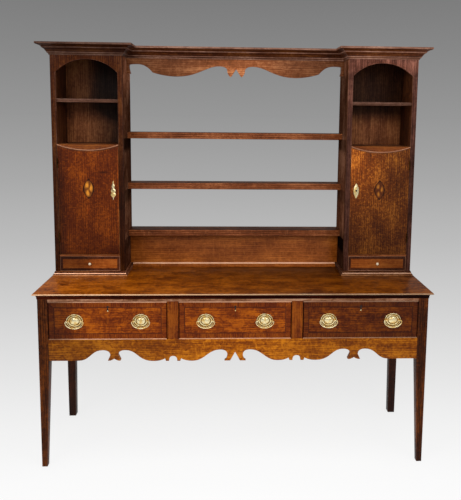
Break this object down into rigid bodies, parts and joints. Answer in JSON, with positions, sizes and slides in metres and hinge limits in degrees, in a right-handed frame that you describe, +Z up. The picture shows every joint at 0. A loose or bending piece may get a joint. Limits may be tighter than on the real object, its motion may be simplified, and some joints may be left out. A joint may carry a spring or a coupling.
{
  "type": "welsh dresser",
  "caption": "Oak dresser: open base with drawers, shaped apron and tapered legs; rack of reeded shelves between cupboards with arched niches, scooped doors and small drawers.",
  "frame": {"origin": "on the floor, under the middle of the dresser's box", "axes": "+Z up, +Y towards the wall behind it, +X to the right of someone who faces it"},
  "size_m": [2.005, 0.55, 2.085],
  "materials": {
    "oak": "waxed, warm brown",
    "dark_oak": "waxed, dark brown",
    "pale_oak": "unpolished, dry",
    "brass": "stamped, polished"
  },
  "bodies": {
    "root": {"table_top": "oak", "leg_front_left": "dark_oak", "leg_back_left": "dark_oak", "end_panel_left": "oak", "muntin_left": "oak", "leg_front_right": "dark_oak", "leg_back_right": "dark_oak", "end_panel_right": "oak", "muntin_right": "oak", "top_rail": "oak", "apron": "oak", "base_back": "pale_oak", "cupboard_left_outer_side": "dark_oak", "cupboard_left_inner_side": "dark_oak", "cupboard_left_face_frame": "dark_oak", "cupboard_left_back": "pale_oak", "cupboard_left_base_board": "oak", "cupboard_left_floor": "oak", "cupboard_left_niche_floor": "oak", "cupboard_left_niche_shelf": "oak", "cupboard_left_hinge_upper": "brass", "cupboard_left_hinge_lower": "brass", "cupboard_right_outer_side": "dark_oak", "cupboard_right_inner_side": "dark_oak", "cupboard_right_face_frame": "dark_oak", "cupboard_right_back": "pale_oak", "cupboard_right_base_board": "oak", "cupboard_right_floor": "oak", "cupboard_right_niche_floor": "oak", "cupboard_right_niche_shelf": "oak", "cupboard_right_hinge_upper": "brass", "cupboard_right_hinge_lower": "brass", "cornice": "dark_oak", "frieze": "dark_oak", "shelf_upper": "dark_oak", "shelf_middle": "dark_oak", "shelf_lower": "dark_oak", "low_back": "dark_oak"},
    "drawer_left": {"drawer_left_front": "oak", "drawer_left_box": "pale_oak", "handle_plate_left_a": "brass", "handle_plate_left_b": "brass"},
    "bail_left_a": {"handle_bail_left_a": "brass"},
    "bail_left_b": {"handle_bail_left_b": "brass"},
    "drawer_middle": {"drawer_middle_front": "oak", "drawer_middle_box": "pale_oak", "handle_plate_middle_a": "brass", "handle_plate_middle_b": "brass"},
    "bail_middle_a": {"handle_bail_middle_a": "brass"},
    "bail_middle_b": {"handle_bail_middle_b": "brass"},
    "drawer_right": {"drawer_right_front": "oak", "drawer_right_box": "pale_oak", "handle_plate_right_a": "brass", "handle_plate_right_b": "brass"},
    "bail_right_a": {"handle_bail_right_a": "brass"},
    "bail_right_b": {"handle_bail_right_b": "brass"},
    "door_left": {"cupboard_left_door": "oak"},
    "small_drawer_left": {"cupboard_left_small_drawer": "oak"},
    "door_right": {"cupboard_right_door": "oak"},
    "small_drawer_right": {"cupboard_right_small_drawer": "oak"}
  },
  "joints": [
    {"name": "drawer_left_slide", "type": "slide", "parent": "root", "child": "drawer_left", "axis": [0, -1, 0], "range_m": [0, 0.3]},
    {"name": "bail_left_a_swing", "type": "hinge", "parent": "drawer_left", "child": "bail_left_a", "pos_m": [-0.771, -0.2625, 0.742], "axis": [-1, 0, 0], "range_deg": [0, 170]},
    {"name": "bail_left_b_swing", "type": "hinge", "parent": "drawer_left", "child": "bail_left_b", "pos_m": [-0.455, -0.2625, 0.742], "axis": [-1, 0, 0], "range_deg": [0, 170]},
    {"name": "drawer_middle_slide", "type": "slide", "parent": "root", "child": "drawer_middle", "axis": [0, -1, 0], "range_m": [0, 0.3]},
    {"name": "bail_middle_a_swing", "type": "hinge", "parent": "drawer_middle", "child": "bail_middle_a", "pos_m": [-0.143, -0.2625, 0.742], "axis": [-1, 0, 0], "range_deg": [0, 170]},
    {"name": "bail_middle_b_swing", "type": "hinge", "parent": "drawer_middle", "child": "bail_middle_b", "pos_m": [0.143, -0.2625, 0.742], "axis": [-1, 0, 0], "range_deg": [0, 170]},
    {"name": "drawer_right_slide", "type": "slide", "parent": "root", "child": "drawer_right", "axis": [0, -1, 0], "range_m": [0, 0.3]},
    {"name": "bail_right_a_swing", "type": "hinge", "parent": "drawer_right", "child": "bail_right_a", "pos_m": [0.455, -0.2625, 0.742], "axis": [-1, 0, 0], "range_deg": [0, 170]},
    {"name": "bail_right_b_swing", "type": "hinge", "parent": "drawer_right", "child": "bail_right_b", "pos_m": [0.771, -0.2625, 0.742], "axis": [-1, 0, 0], "range_deg": [0, 170]},
    {"name": "door_left_hinge", "type": "hinge", "parent": "root", "child": "door_left", "pos_m": [-0.92, 0.0415, 1.281], "axis": [0, 0, -1], "range_deg": [0, 170]},
    {"name": "small_drawer_left_slide", "type": "slide", "parent": "root", "child": "small_drawer_left", "axis": [0, -1, 0], "range_m": [0, 0.12]},
    {"name": "door_right_hinge", "type": "hinge", "parent": "root", "child": "door_right", "pos_m": [0.92, 0.0415, 1.281], "axis": [0, 0, 1], "range_deg": [0, 170]},
    {"name": "small_drawer_right_slide", "type": "slide", "parent": "root", "child": "small_drawer_right", "axis": [0, -1, 0], "range_m": [0, 0.12]}
  ]
}
